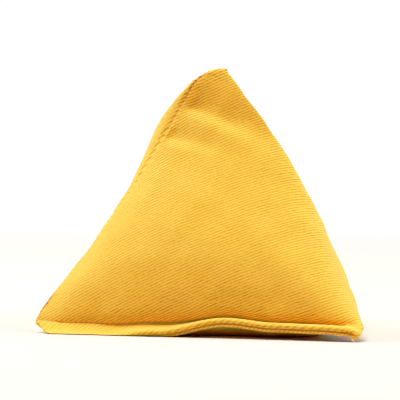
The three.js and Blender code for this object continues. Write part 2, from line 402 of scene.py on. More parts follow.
class ClothGrid:
    """The four panels as triangular grids of points that share their edges."""

    def __init__(self, form: BagForm, steps: int, open_lip: bool = True, crowding: float = 1.0) -> None:
        """Numbers the points and makes the faces.

        Args:
            form: the bag's form.
            steps: triangles along each edge of a panel.
            open_lip: whether the front and the base keep points of their own along the closing lip.
            crowding: above 1, the points crowd towards the edges.
        """
        self.form = form
        self.steps = steps
        self.numbers: dict[str, Array] = {}
        self.faces: dict[str, Array] = {}
        rows: list[Array] = []
        shared: dict[tuple, int] = {}
        count = 0
        for panel in form.panels:
            numbers = -np.ones((steps + 1, steps + 1), int)
            for i in range(steps + 1):
                for j in range(steps + 1 - i):
                    counts = (i, j, steps - i - j)
                    used = [(c.value, n) for c, n in zip(panel.corners, counts) if n]
                    if len(used) < 3:
                        on_lip = {Corner(column) for column, _ in used} == LIP_CORNERS
                        key = (tuple(sorted(used)), open_lip and on_lip and panel.name)
                        if key in shared:
                            numbers[i, j] = shared[key]
                            continue
                        shared[key] = count
                    numbers[i, j] = count
                    row = np.zeros(4)
                    row[panel.columns] = np.array(counts) ** crowding
                    rows.append(row)
                    count += 1
            self.numbers[panel.name] = numbers
            self.faces[panel.name] = self.panel_faces(numbers)
        self.shares = np.array(rows)
        self.shares /= self.shares.sum(axis=1, keepdims=True)

    def panel_faces(self, numbers: Array) -> Array:
        """Makes the triangles of one panel, facing outwards.

        Args:
            numbers: the panel's point numbers by row and column.

        Returns:
            One row of three point numbers for each triangle.
        """
        steps = self.steps
        first, second = np.meshgrid(np.arange(steps), np.arange(steps), indexing="ij")
        upright = first + second < steps
        hanging = first + second < steps - 1
        i, j = first[upright], second[upright]
        one = np.stack([numbers[i + 1, j], numbers[i, j + 1], numbers[i, j]], axis=1)
        i, j = first[hanging], second[hanging]
        other = np.stack([numbers[i + 1, j], numbers[i + 1, j + 1], numbers[i, j + 1]], axis=1)
        return np.concatenate([one, other])

    def all_faces(self) -> Array:
        """The triangles of all four panels."""
        return np.concatenate([self.faces[panel.name] for panel in self.form.panels])

    def formed(self) -> Array:
        """Places every point on the bag's form.

        Returns:
            One row of x, y and z for each point.
        """
        points = np.zeros((len(self.shares), 3))
        for panel in self.form.panels:
            own = np.unique(self.faces[panel.name])
            points[own] = self.form.panel_points(panel, self.shares[own][:, panel.columns])
        return points

    def corners_used(self) -> Array:
        """Of how many corners each point has a share: 1 at a corner, 2 on an edge and 3 inside a panel."""
        return (self.shares > 0).sum(axis=1)

    def distance(self, first: Corner, second: Corner) -> Array:
        """How far each point lies from the edge between two corners, measured in the cloth."""
        return (1.0 - self.shares[:, first.value] - self.shares[:, second.value]) * PANEL_HEIGHT

    def along(self, first: Corner, second: Corner) -> Array:
        """How far each point lies along the edge between two corners, from the first, in millimetres."""
        start, end = self.shares[:, first.value], self.shares[:, second.value]
        return EDGE_LENGTH * (end + 1.0 - start) / 2.0

    def softness(self) -> Array:
        """How strongly each point is evened out: on a folded edge fully, and a little at the right corner.

        Returns:
            From 0 to 1 for each point.
        """
        soft = np.zeros(len(self.shares))
        used = self.corners_used()
        for edge in self.form.edges:
            if not edge.sewn:
                near = clamped(1.0 - self.distance(edge.start, edge.end) / self.form.bend_reach)
                near *= clamped(edge.start_round * self.shares[:, edge.end.value])
                soft = np.maximum(soft, near * clamped(edge.end_round * self.shares[:, edge.start.value]))
        for edge in self.form.edges:
            if edge.sewn:
                soft[(used == 2) & (self.distance(edge.start, edge.end) < ON_EDGE)] = 0.0
        soft[used == 1] = 0.0
        from_right = (1.0 - self.shares[:, Corner.RIGHT.value]) * PANEL_HEIGHT
        return np.maximum(soft, self.form.plumpness * clamped(1.0 - from_right / self.form.plump_reach))

    def averaged(self, values: Array, rounds: int, share: Array | float = 1.0) -> Array:
        """Moves every value towards the mean of its neighbours.

        Args:
            values: one row for each point.
            rounds: how many times over.
            share: how far each point moves, from 0 to 1.

        Returns:
            The evened values.
        """
        faces = self.all_faces()
        pairs = np.concatenate([faces[:, [0, 1]], faces[:, [1, 2]], faces[:, [2, 0]]])
        pairs = np.unique(np.concatenate([pairs, pairs[:, ::-1]]), axis=0)
        size = len(values)
        near = np.bincount(pairs[:, 0], minlength=size)[:, None]
        moved = np.broadcast_to(np.asarray(share, float).reshape(-1, 1), (size, 1))
        result = values.copy()
        for _ in range(rounds):
            sums = [np.bincount(pairs[:, 0], result[pairs[:, 1], k], size) for k in range(values.shape[1])]
            result += (np.stack(sums, axis=1) / near - result) * moved
        return result

    def finer(self, values: Array, fine: "ClothGrid") -> Array:
        """Carries values over to a finer grid of the same panels.

        Args:
            values: one row for each point of this grid.
            fine: the finer grid.

        Returns:
            One row for each point of the finer grid.
        """
        result = np.zeros((len(fine.shares), values.shape[1]))
        for panel in self.form.panels:
            own = np.unique(fine.faces[panel.name])
            place = np.clip(fine.shares[own][:, panel.columns[:2]], 0.0, 1.0) * self.steps
            cell = np.minimum(np.floor(place + TINY).astype(int), self.steps - 1)
            over = (cell.sum(axis=1) > self.steps - 1).astype(int)
            cell[:, 0] = np.maximum(cell[:, 0] - over, 0)
            part = place - cell
            inside = part.sum(axis=1) <= 1.0 + TINY
            i, j = cell[:, 0], cell[:, 1]
            numbers = self.numbers[panel.name]
            across = np.where(inside, numbers[i, j], numbers[np.minimum(i + 1, self.steps), j + 1])
            shares = np.where(inside, 1.0 - part.sum(axis=1), part.sum(axis=1) - 1.0)
            first = np.where(inside, part[:, 0], 1.0 - part[:, 1])
            second = np.where(inside, part[:, 1], 1.0 - part[:, 0])
            rows = zip((across, numbers[i + 1, j], numbers[i, j + 1]), (shares, first, second))
            result[own] = sum(values[number] * share[:, None] for number, share in rows)
        return result


def normals_of(points: Array, faces: Array) -> Array:
    """Finds the outward direction at each point of a triangle mesh.

    Args:
        points: one row of x, y and z for each point.
        faces: one row of three point numbers for each triangle.

    Returns:
        One vector of length 1 for each point.
    """
    first, second, third = (points[faces[:, corner]] for corner in range(3))
    across = np.cross(second - first, third - first)
    total = np.zeros_like(points)
    for axis in (X, Y, Z):
        total[:, axis] = sum(np.bincount(faces[:, k], across[:, axis], len(points)) for k in range(3))
    return total / np.maximum(np.linalg.norm(total, axis=1, keepdims=True), TINY)


def new_object(name: str, points: Array, faces: Array, edges: Array | None = None) -> Piece:
    """Makes a mesh object whose place is in its mesh.

    Args:
        name: the piece's name.
        points: one row of x, y and z for each point, in metres.
        faces: one row of point numbers for each face.
        edges: pairs of point numbers for a mesh with no faces.

    Returns:
        The linked object.
    """
    mesh = bpy.data.meshes.new(name)
    mesh.from_pydata(points.tolist(), [] if edges is None else edges.tolist(), faces.tolist())
    mesh.update()
    piece = bpy.data.objects.new(name, mesh)
    bpy.context.scene.collection.objects.link(piece)
    return piece


def new_floor(name: str, half: float) -> Piece:
    """Makes a level square at height 0.

    Args:
        name: the piece's name.
        half: half of its side in metres.

    Returns:
        The linked object.
    """
    corners = half * np.array([[-1, -1, 0], [1, -1, 0], [1, 1, 0], [-1, 1, 0]])
    return new_object(name, corners, np.array([[0, 1, 2, 3]]))


def discard(piece: Piece) -> None:
    """Removes a helper object and its mesh.

    Args:
        piece: the object.
    """
    mesh = piece.data
    bpy.data.objects.remove(piece)
    bpy.data.meshes.remove(mesh)


def place_aimed(name: str, data: bpy.types.ID, place: Vector, aim: Vector) -> Piece:
    """Adds a camera or a light.

    Args:
        name: the object's name.
        data: its camera or light.
        place: where it stands, in metres.
        aim: the way it looks.

    Returns:
        The linked object.
    """
    thing = bpy.data.objects.new(name, data)
    bpy.context.scene.collection.objects.link(thing)
    thing.location = place
    thing.rotation_mode = "QUATERNION"
    thing.rotation_quaternion = aim.to_track_quat("-Z", "Y")
    return thing


@dataclass(frozen=True)
class Filling:
    """Blows the flat cut panels out with Blender's cloth, and keeps the small creases that they settle into.

    The simulation works at ten times the bag's size, where the solver holds thin cloth steady.
    """

    steps: int = 48
    frames: int = 40
    enlarged: float = 0.01
    floor_half: float = 9.0     # half the side of the floor, in metres
    start_height: float = 3.0
    pressure: float = 4.0
    broad_rounds: int = 14
    fine_rounds: int = 1
    cap: float = 0.7

    def flat_corners(self) -> dict[Corner, Array]:
        """The corners of the flat cut bag, standing on its base.

        Returns:
            The place of each corner.
        """
        height = EDGE_LENGTH * math.sqrt(2.0 / 3.0)
        half, low = EDGE_LENGTH / 2, self.start_height
        return {
            Corner.LEFT: np.array([-half, 0.0, low]),
            Corner.RIGHT: np.array([half, 0.0, low]),
            Corner.BACK: np.array([0.0, PANEL_HEIGHT, low]),
            Corner.TOP: np.array([0.0, PANEL_HEIGHT / 3, height + low]),
        }

    def floor(self) -> Piece:
        """Makes a floor for the cloth to come to rest on.

        Returns:
            The floor.
        """
        floor = new_floor("settling_floor", self.floor_half)
        floor.modifiers.new("rest", "COLLISION")
        floor.collision.thickness_outer = 0.005
        floor.collision.cloth_friction = 10
        return floor

    def dress(self, cloth: Piece) -> None:
        """Gives the cloth the behaviour of firm cotton.

        Args:
            cloth: the cloth's object.
        """
        modifier = cloth.modifiers.new("cloth", "CLOTH")
        settings = modifier.settings
        settings.quality = 8
        settings.mass = 0.05
        settings.tension_stiffness = settings.compression_stiffness = 80
        settings.shear_stiffness = 60
        settings.bending_stiffness = 0.5
        settings.tension_damping = settings.compression_damping = settings.shear_damping = 25
        settings.air_damping = 2
        settings.use_pressure = True
        settings.uniform_pressure_force = self.pressure
        settings.fluid_density = 0.4
        modifier.collision_settings.distance_min = 0.005
        modifier.collision_settings.use_self_collision = False
        modifier.point_cache.frame_start = 1
        modifier.point_cache.frame_end = self.frames

    def creases(self, grid: ClothGrid) -> Array:
        """Settles the cloth and reads the creases that it has beyond its broad form.

        Args:
            grid: a coarse closed grid of the bag.

        Returns:
            How far each point stands out beyond the broad form, in millimetres.
        """
        corners = self.flat_corners()
        flat = sum(grid.shares[:, corner.value][:, None] * place for corner, place in corners.items())
        cloth = new_object("settling_cloth", flat * self.enlarged, grid.all_faces())
        floor = self.floor()
        self.dress(cloth)
        scene = bpy.context.scene
        for number in range(1, self.frames + 1):
            scene.frame_set(number)
        settled = np.zeros(len(flat) * 3, np.float32)
        evaluated = cloth.evaluated_get(bpy.context.evaluated_depsgraph_get())
        evaluated.data.vertices.foreach_get("co", settled)
        scene.frame_set(1)
        discard(cloth)
        discard(floor)
        settled = settled.reshape(-1, 3).astype(float) / self.enlarged
        formed = grid.formed()
        crease = self.detail(grid, settled) - self.detail(grid, formed)
        height = (crease * normals_of(formed, grid.all_faces())).sum(axis=1)
        height *= 1.0 - grid.form.ear_share(formed)
        return self.cap * np.tanh(height / self.cap)[:, None]

    def detail(self, grid: ClothGrid, points: Array) -> Array:
        """What the points have beyond their broad form."""
        return grid.averaged(points, self.fine_rounds) - grid.averaged(points, self.broad_rounds)


@dataclass(frozen=True)
class Unevenness:
    """The soft uneven surface of cloth over loose beans, as a sum of weak waves in all directions."""

    waves: int = 40
    shortest: float = 6.0
    longest: float = 20.0
    height: float = 0.11       # the usual height, in millimetres
    seed: int = 5

    def relief(self, points: Array) -> Array:
        """Adds up the waves.

        Args:
            points: one row of x, y and z for each point.

        Returns:
            How far each point stands out, in millimetres.
        """
        random = np.random.default_rng(self.seed)
        ways = random.normal(size=(self.waves, 3))
        ways /= np.linalg.norm(ways, axis=1, keepdims=True)
        lengths = random.uniform(self.shortest, self.longest, self.waves)
        turns = random.uniform(0.0, 2 * math.pi, self.waves)
        phases = points @ (2 * math.pi * ways / lengths[:, None]).T + turns
        return self.height * np.sin(phases).sum(axis=1) * math.sqrt(2.0 / self.waves)


def hex_to_linear(code: str) -> tuple[float, ...]:
    """Turns an sRGB hex colour into Blender's linear colour.

    Args:
        code: the colour, as # and six digits.

    Returns:
        Red, green, blue and 1 for opaque.
    """
    parts = [int(code[k:k + 2], 16) / 255 for k in (1, 3, 5)]
    linear = [part / 12.92 if part <= 0.04045 else ((part + 0.055) / 1.055) ** 2.4 for part in parts]
    return (*linear, 1.0)


def emptied(owner: Material | bpy.types.World) -> Tree:
    """Gives a material or a world an empty node tree.

    Args:
        owner: the material or the world.

    Returns:
        The tree.
    """
    owner.use_nodes = True
    owner.node_tree.nodes.clear()
    return owner.node_tree


def add_node(tree: Tree, kind: str, settings: dict | None = None, links: dict | None = None) -> Node:
    """Adds a node with its settings and its links.

    Args:
        tree: the node tree.
        kind: Blender's name for the kind of node.
        settings: attributes by name, and unlinked inputs by name or number.
        links: the output that goes into each input, by the input's name or number.

    Returns:
        The node.
    """
    node = tree.nodes.new(kind)
    for key, value in (settings or {}).items():
        if isinstance(key, str) and hasattr(node, key) and key not in node.inputs:
            setattr(node, key, value)
        else:
            node.inputs[key].default_value = value
    for key, output in (links or {}).items():
        tree.links.new(output, node.inputs[key])
    return node


# shade holds the painted seam shade, and pressed marks the closing lip
PAINTED_SHADE = "shade"         # the attributes that the cloth's mesh and its material share
PRESSED = "pressed"
OUTWARD = "outward"
UV_SPAN = 320.0     # millimetres of cloth across the whole UV map
UV_MARGIN = 20.0    # millimetres from the map's corner to the strip
WAVE_BANDS = 6.0    # about how many bands a wave texture of scale 1 has to a unit


@dataclass(frozen=True)
class CottonDrill:
    """Woven cotton drill, piece dyed yellow, with sizes in millimetres of cloth.

    It is a matt three-and-one twill: round slanting ribs, painted shade in the grooves between them, and a
    soft sheen.
    """

    rib_pitch: float = 0.84        # usual drill has 108 warp and 56 weft threads to the inch
    rib_angle: float = 23.0
    rib_height: float = 0.16
    rib_round: float = 2.4         # the higher, the flatter a rib's back
    bead_length: float = 0.51      # from one warp float to the next along a rib
    bead_height: float = 0.05      # this and the next are shares of a rib's height
    slub_height: float = 0.22
    slub_stretch: Triple = (0.35, 2.6, 1.0)
    slub_shade: tuple[float, float] = (0.44, -0.2)
    sway: float = 0.8              # how far a rib strays from its straight line
    sway_scale: float = 0.12
    cloud_scale: float = 0.05
    cloud_share: float = 0.35
    groove_power: float = 1.6      # the higher, the narrower the groove's painted shade
    fleck_scale: float = 1.2
    fleck_shade: tuple[float, float] = (1.25, 0.17)
    rib_colour: str = "#F4C540"
    # painted shade in the grooves between the ribs
    painted_groove_shade_colour: str = "#C98412"
    pale_colour: str = "#F6D15E"
    painted_seam_shade_colour: str = "#8A4E0A"   # painted shade for a seam's groove and stitch dents, too narrow for its shadow to be modelled
    seam_shade: float = 0.66
    pressed_flat: float = 0.3      # share of the ribs' height that is gone where the closing lip is pressed
    sheen_colour: str = "#FFF0C4"

    def sums(self) -> tuple[tuple[str | float, ...], ...]:
        """The weave as a list of sums, in the order in which they are worked out.

        Returns:
            For each its name, its operation, and its values: numbers, and the names of what is known by then.
        """
        return (
            ("swayed", "MULTIPLY_ADD", "sway", self.sway, "across"),
            ("pitches", "DIVIDE", "swayed", self.rib_pitch),
            ("phase", "FRACT", "pitches"),
            ("side", "MULTIPLY_ADD", "phase", 2.0, -1.0),
            ("from_middle", "ABSOLUTE", "side"),
            ("fallen", "POWER", "from_middle", self.rib_round),
            ("standing", "SUBTRACT", 1.0, "fallen"),
            ("rib", "SQRT", "standing"),
            ("beads", "MULTIPLY", "along", 2 * math.pi / self.bead_length),
            ("bead", "SINE", "beads"),
            ("beaded", "MULTIPLY_ADD", "bead", self.bead_height, "rib"),
            ("woven", "MULTIPLY_ADD", "slub", self.slub_height, "beaded"),
            ("kept", "MULTIPLY_ADD", PRESSED, -self.pressed_flat, 1.0),
            ("height", "MULTIPLY", "woven", "kept"),
            # painted shade in the grooves, broken up by flecks and weaker where the lip is pressed, plus the
            # slub's random tone
            ("groove", "POWER", "from_middle", self.groove_power),
            ("flecked", "MULTIPLY_ADD", "flecks", *self.fleck_shade),
            ("broken", "MULTIPLY", "kept", "flecked"),
            ("uneven", "MULTIPLY_ADD", "slub", *self.slub_shade),
            ("paled", "MULTIPLY", "clouds", self.cloud_share),
            ("grooved", "MULTIPLY_ADD", "groove", "broken", "uneven"),
            # the sum named sewn is the painted seam shade
            ("sewn", "MULTIPLY", PAINTED_SHADE, self.seam_shade),
        )

    def build(self) -> Material:
        """Makes the material, which reads its place on the cut strip from the UV map.

        Returns:
            The material.
        """
        material = bpy.data.materials.new("cotton_drill")
        add = partial(add_node, emptied(material))
        cloth = add("ShaderNodeUVMap", {"uv_map": "cloth"})
        place = add("ShaderNodeVectorMath", {"operation": "SCALE", "Scale": UV_SPAN}, {0: cloth.outputs[0]})
        turn = {"rotation_type": "Z_AXIS", "Angle": -math.radians(self.rib_angle)}
        turned = add("ShaderNodeVectorRotate", turn, {"Vector": place.outputs[0]})
        stretch = {"operation": "MULTIPLY", 1: self.slub_stretch}
        stretched = add("ShaderNodeVectorMath", stretch, {0: place.outputs[0]})
        patterns = (
            ("sway", self.sway_scale, 2.0, place),
            ("clouds", self.cloud_scale, 3.0, place),
            ("flecks", self.fleck_scale, 1.0, turned),
            ("slub", 1.0, 3.0, stretched),
        )
        found: dict[str, Socket] = {}
        for name, scale, detail, at in patterns:
            noise = add("ShaderNodeTexNoise", {"Scale": scale, "Detail": detail}, {0: at.outputs[0]})
            found[name] = noise.outputs["Fac"]
        for name in (PRESSED, PAINTED_SHADE):
            found[name] = add("ShaderNodeAttribute", {"attribute_name": name}).outputs["Fac"]
        parts = add("ShaderNodeSeparateXYZ", None, {0: turned.outputs[0]})
        found["along"], found["across"], _ = parts.outputs
        for name, operation, *values in self.sums():
            numbers = {k: value for k, value in enumerate(values) if not isinstance(value, str)}
            links = {k: found[value] for k, value in enumerate(values) if isinstance(value, str)}
            found[name] = add("ShaderNodeMath", {"operation": operation, **numbers}, links).outputs[0]
        bump_size = {"Strength": 1.0, "Distance": self.rib_height * MM}
        bump = add("ShaderNodeBump", bump_size, {"Height": found["height"]})
        # over the rib colour: random paler clouds, then painted groove shade with the slub's tone, then
        # painted seam shade
        layers = ((self.pale_colour, "paled"), (self.painted_groove_shade_colour, "grooved"), (self.painted_seam_shade_colour, "sewn"))
        dyed: dict[int, Socket] = {}
        for colour, share in layers:
            colours = {6: hex_to_linear(self.rib_colour), 7: hex_to_linear(colour)}
            settings = {"data_type": "RGBA", "clamp_factor": True, **colours}
            dyed = {6: add("ShaderNodeMix", settings, {0: found[share], **dyed}).outputs[2]}
        look = {
            "Roughness": 0.92,
            "IOR": 1.46,
            "Specular IOR Level": 0.25,
            "Sheen Weight": 0.45,
            "Sheen Roughness": 0.45,
            "Sheen Tint": hex_to_linear(self.sheen_colour),
        }
        surface = add("ShaderNodeBsdfPrincipled", look, {"Base Color": dyed[6], "Normal": bump.outputs[0]})
        add("ShaderNodeOutputMaterial", None, {0: surface.outputs[0]})
        return material


@dataclass(frozen=True)
class SewingThread:
    """Spun polyester sewing thread, dyed to the cloth: slightly shiny, with a fine twist."""

    colour: str = "#EDB53E"
    twist_pitch: float = 0.35
    twist_depth: float = 0.04

    def build(self) -> Material:
        """Makes the material.

        Returns:
            The material.
        """
        material = bpy.data.materials.new("polyester_thread")
        add = partial(add_node, emptied(material))
        place = add("ShaderNodeTexCoord")
        bands = {"Scale": 1.0 / (self.twist_pitch * MM) / WAVE_BANDS, "Distortion": 1.0}
        twist = add("ShaderNodeTexWave", bands, {"Vector": place.outputs["Object"]})
        bump = add("ShaderNodeBump", {"Distance": self.twist_depth * MM}, {"Height": twist.outputs["Fac"]})
        look = {"Base Color": hex_to_linear(self.colour), "Roughness": 0.55, "IOR": 1.5, "Sheen Weight": 0.15}
        surface = add("ShaderNodeBsdfPrincipled", look, {"Normal": bump.outputs[0]})
        add("ShaderNodeOutputMaterial", None, {0: surface.outputs[0]})
        return material


@dataclass(frozen=True)
class StripLayout:
    """Lays the sewn panels out flat again, so that the weave runs over the bag as over the cut strip."""

    steps: int = 48
    rounds: int = 8
    iterations: int = 20

    def places(self, form: BagForm, fine: ClothGrid) -> dict[str, Array]:
        """Finds where every point lies on the flat strip.

        Args:
            form: the bag's form.
            fine: the grid whose points are wanted.

        Returns:
            For each panel, one row of x and y in millimetres for each point of the fine grid.
        """
        grid = ClothGrid(form, self.steps, open_lip=True)
        points = grid.averaged(grid.formed(), self.rounds, grid.softness())
        cloth = new_object("flat_cloth", points, grid.all_faces())
        self.mark_seams(form, grid, cloth)
        flat = self.unwrap(cloth)
        discard(cloth)
        places, first = {}, 0
        for panel in form.panels:
            faces = grid.faces[panel.name]
            own = np.zeros((len(grid.shares), 2))
            own[faces.ravel()] = flat[first:first + faces.size]
            first += faces.size
            places[panel.name] = own
        self.straighten(form, grid, points, places)
        return {name: grid.finer(own, fine) for name, own in places.items()}

    def mark_seams(self, form: BagForm, grid: ClothGrid, cloth: Piece) -> None:
        """Marks the sewn edges as cuts.

        Args:
            form: the bag's form.
            grid: the grid that the cloth was made from.
            cloth: the cloth's object.
        """
        used = grid.corners_used()
        ends = np.zeros(len(cloth.data.edges) * 2, int)
        cloth.data.edges.foreach_get("vertices", ends)
        cut = np.zeros(len(cloth.data.edges), bool)
        for edge in form.edges:
            if edge.sewn:
                on_edge = (used <= 2) & (grid.distance(edge.start, edge.end) < ON_EDGE)
                cut |= on_edge[ends].reshape(-1, 2).all(axis=1)
        cloth.data.edges.foreach_set("use_seam", cut)

    def unwrap(self, cloth: Piece) -> Array:
        """Unwraps the cloth with the least stretch.

        Args:
            cloth: the cloth's object.

        Returns:
            The flat place of every face corner.
        """
        cloth.data.uv_layers.new(name="flat")
        bpy.context.view_layer.objects.active = cloth
        cloth.select_set(True)
        bpy.ops.object.mode_set(mode="EDIT")
        bpy.ops.mesh.select_all(action="SELECT")
        bpy.ops.uv.unwrap(method="MINIMUM_STRETCH", iterations=self.iterations, margin=0.0)
        bpy.ops.object.mode_set(mode="OBJECT")
        flat = np.zeros(len(cloth.data.loops) * 2)
        cloth.data.uv_layers["flat"].uv.foreach_get("vector", flat)
        return flat.reshape(-1, 2)

    def straighten(self, form: BagForm, grid: ClothGrid, points: Array, places: dict[str, Array]) -> None:
        """Turns the flat strip until the front's lower edge runs along x, and brings it to its real size.

        Args:
            form: the bag's form.
            grid: the grid that was unwrapped.
            points: its points on the bag.
            places: its points on the strip by panel, which this changes.
        """
        front = form.panels[0]
        numbers = grid.numbers[front.name]
        left, right = places[front.name][[numbers[self.steps, 0], numbers[0, self.steps]]]
        along = (right - left) / np.linalg.norm(right - left)
        turn = np.array([[along[0], -along[1]], [along[1], along[0]]])
        faces = grid.faces[front.name]
        sides = points[faces[:, 1]] - points[faces[:, 0]], points[faces[:, 2]] - points[faces[:, 0]]
        area = np.linalg.norm(np.cross(*sides), axis=1).sum()
        flat = places[front.name][faces]
        one, other = flat[:, 1] - flat[:, 0], flat[:, 2] - flat[:, 0]
        flat_area = np.abs(one[:, 0] * other[:, 1] - one[:, 1] * other[:, 0]).sum()
        for name in places:
            places[name] = (places[name] - left) @ turn * math.sqrt(area / flat_area)


@dataclass(frozen=True)
class Seam:
    """A seam between two panels: a drawn-in groove with a small dent at every stitch, and painted shade along
    its line and in its dents.

    Lengths are millimetres. dented is the corner of the panel that the stitches pull dents into.
    """

    start: Corner
    end: Corner
    dented: Corner
    width: float = 0.25
    depth: float = 0.16
    fade_in: float = 5.0
    fade_out: float = 4.0
    ends_at: float = 94.0        # beyond this the seam runs flat along the ear's upper edge
    past_end: float = 2.0
    stitch_pitch: float = 2.5
    stitch_length: float = 0.35
    stitch_width: float = 0.8
    first_stitch: float = 4.0
    solid_from: float = 80.0     # beyond this the painted shade line is closed, and below it a row of painted shade dashes that weaken
    solid_over: float = 8.0
    weak_from: float = 60.0
    weak_over: float = 20.0
    weak_shade: float = 0.2
    line_width: float = 0.22
    dashed_line: float = 0.3     # how dark the painted shade line is between its dashes
    dent: float = 0.10
    dent_reach: float = 0.9
    dent_lean: float = 0.9       # the dents follow the ribs, so they lean along the seam
    dent_shade: float = 0.42
    pucker: float = 0.05
    pucker_from: float = 0.8
    pucker_reach: float = 2.8
    pucker_sway: float = 1.3
    pucker_sway_rate: float = 0.31
    rim: float = 0.32            # the turned-in edges inside make the ear's upper edge thick and round
    rim_round: float = 0.9
    rim_reach: float = 4.0
    rim_starts: float = 3.0
    rim_ends: float = 5.0

    def relief(self, grid: ClothGrid) -> tuple[Array, Array]:
        """Shapes the seam.

        Args:
            grid: the bag's fine grid.

        Returns:
            How far each point stands out in millimetres, and how deep in shade it is.
        """
        opposite = [corner.value for corner in Corner if corner not in (self.start, self.end)]
        on_sides = (grid.shares[:, opposite] < TINY).any(axis=1)
        dented = grid.shares[:, self.dented.value] > 0
        away = grid.distance(self.start, self.end)
        along = grid.along(self.start, self.end)
        turn = 2 * math.pi * (along - np.where(dented, self.dent_lean * away, 0.0)) / self.stitch_pitch
        stitch = (0.5 + 0.5 * np.cos(turn)) ** 2
        solid = eased((along - self.solid_from) / self.solid_over)
        weak = self.weak_shade + (1.0 - self.weak_shade) * eased((along - self.weak_from) / self.weak_over)
        reached = np.where(dented, np.exp(-away / self.dent_reach), bell(away / self.line_width))
        dent = stitch * reached * weak * (1.0 - solid)
        darkness = self.dashed_line * weak + (1.0 - self.dashed_line) * solid
        line = bell(away / self.line_width) * darkness
        swayed = np.cos(turn + self.pucker_sway * np.sin(along * self.pucker_sway_rate))
        wave = swayed * np.exp(-away / self.pucker_reach) * clamped(away / self.pucker_from)
        relief = -self.depth * bell(away / self.width) - self.dent * dent - self.pucker * wave
        round_edge = 1.0 - (1.0 - clamped(away / self.rim_round)) ** 2
        ear_starts = eased((along - self.ends_at) / self.rim_starts)
        ear_ends = eased((EDGE_LENGTH - along) / self.rim_ends)
        rim = self.rim * ear_starts * ear_ends * round_edge * bell(away / self.rim_reach)
        ends = eased(along / self.fade_in) * eased((self.ends_at + self.past_end - along) / self.fade_out)
        # painted shade: a dark line along the seam's groove, and a dash at each stitch's dent
        shade = ends * np.maximum(line, self.dent_shade * dent)
        return np.where(on_sides, ends * relief + rim, 0.0), np.where(on_sides, shade, 0.0)

    def line(self, points: Array, normals: Array, grid: ClothGrid, lift: float) -> tuple[Array, Array]:
        """The seam's own line.

        Args:
            points: the bag's points.
            normals: the outward direction at each.
            grid: the grid that the points belong to.
            lift: how far the line stands out of the groove.

        Returns:
            The line's points from start to end, and the outward direction at each.
        """
        along = grid.along(self.start, self.end)
        shown = (along > self.first_stitch) & (along < self.ends_at)
        on_line = (grid.corners_used() == 2) & (grid.distance(self.start, self.end) < ON_EDGE)
        own = np.flatnonzero(on_line & shown)
        own = own[np.argsort(along[own])]
        return points[own] + normals[own] * lift, normals[own]


@dataclass(frozen=True, kw_only=True)
class Threadwork:
    """Sewing thread that Geometry Nodes lay along a path, with sizes in millimetres."""

    name: str
    radius: float
    sides: int

    def sizes(self) -> dict[str, float | int]:
        """The node tree's own inputs by name, with lengths in metres."""
        return {"Radius": self.radius * MM}

    def laid(self, tree: Tree, path: Socket, inputs: bpy.types.NodeOutputs) -> Socket:
        """Lays the thread along the path.

        Args:
            tree: the node tree.
            path: the path as a curve.
            inputs: the tree's inputs.

        Returns:
            The output that gives the thread.
        """
        raise NotImplementedError

    def thread_along(self, tree: Tree, curve: Socket, radius: Socket) -> Socket:
        """Runs a round thread with closed ends along a curve.

        Args:
            tree: the node tree.
            curve: the curve.
            radius: the thread's radius.

        Returns:
            The output that gives the thread's mesh.
        """
        add = partial(add_node, tree)
        ring = add("GeometryNodeCurvePrimitiveCircle", {"Resolution": self.sides}, {"Radius": radius})
        links = {"Curve": curve, "Profile Curve": ring.outputs[0]}
        return add("GeometryNodeCurveToMesh", {"Fill Caps": True}, links).outputs[0]

    def tree(self) -> Tree:
        """Makes the node tree, which ends in real geometry with the thread's material.

        Returns:
            The node tree.
        """
        tree = bpy.data.node_groups.new(self.name, "GeometryNodeTree")
        kinds = {name: "Int" if isinstance(size, int) else "Float" for name, size in self.sizes().items()}
        for name, kind in {"Path": "Geometry", **kinds, "Thread": "Material"}.items():
            tree.interface.new_socket(name, in_out="INPUT", socket_type=f"NodeSocket{kind}")
        tree.interface.new_socket("Threadwork", in_out="OUTPUT", socket_type="NodeSocketGeometry")
        inputs = add_node(tree, "NodeGroupInput").outputs
        path = add_node(tree, "GeometryNodeMeshToCurve", None, {0: inputs["Path"]})
        laid = self.laid(tree, path.outputs[0], inputs)
        real = add_node(tree, "GeometryNodeRealizeInstances", None, {0: laid})
        links = {"Geometry": real.outputs[0], "Material": inputs["Thread"]}
        dressed = add_node(tree, "GeometryNodeSetMaterial", None, links)
        add_node(tree, "NodeGroupOutput", None, {0: dressed.outputs[0]})
        return tree

    def build(self, points: Array, thread: Material, outward: Array | None = None) -> Piece:
        """Makes the piece as a plain mesh that rides on the bag.

        Args:
            points: the path's points in the form's millimetres.
            thread: the thread's material.
            outward: the direction out of the cloth at each point, where the tree reads it.

        Returns:
            The piece.
        """
        number = np.arange(len(points) - 1)
        links = np.stack([number, number + 1], axis=1)
        piece = new_object(self.name, (points - FORM_MIDDLE) * MM, np.zeros((0, 3), int), links)
        if outward is not None:
            ways = piece.data.attributes.new(OUTWARD, "FLOAT_VECTOR", "POINT")
            ways.data.foreach_set("vector", outward.ravel())
        tree = self.tree()
        modifier = piece.modifiers.new(tree.name, "NODES")
        modifier.node_group = tree
        values = {**self.sizes(), "Thread": thread}
        for socket in tree.interface.items_tree:
            if socket.in_out == "INPUT" and socket.name in values:
                modifier[socket.identifier] = values[socket.name]
        finished = bpy.data.meshes.new_from_object(piece.evaluated_get(bpy.context.evaluated_depsgraph_get()))
        piece.modifiers.clear()
        path, piece.data = piece.data, finished
        bpy.data.meshes.remove(path)
        finished.shade_smooth()
        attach(piece, "root")
        return piece


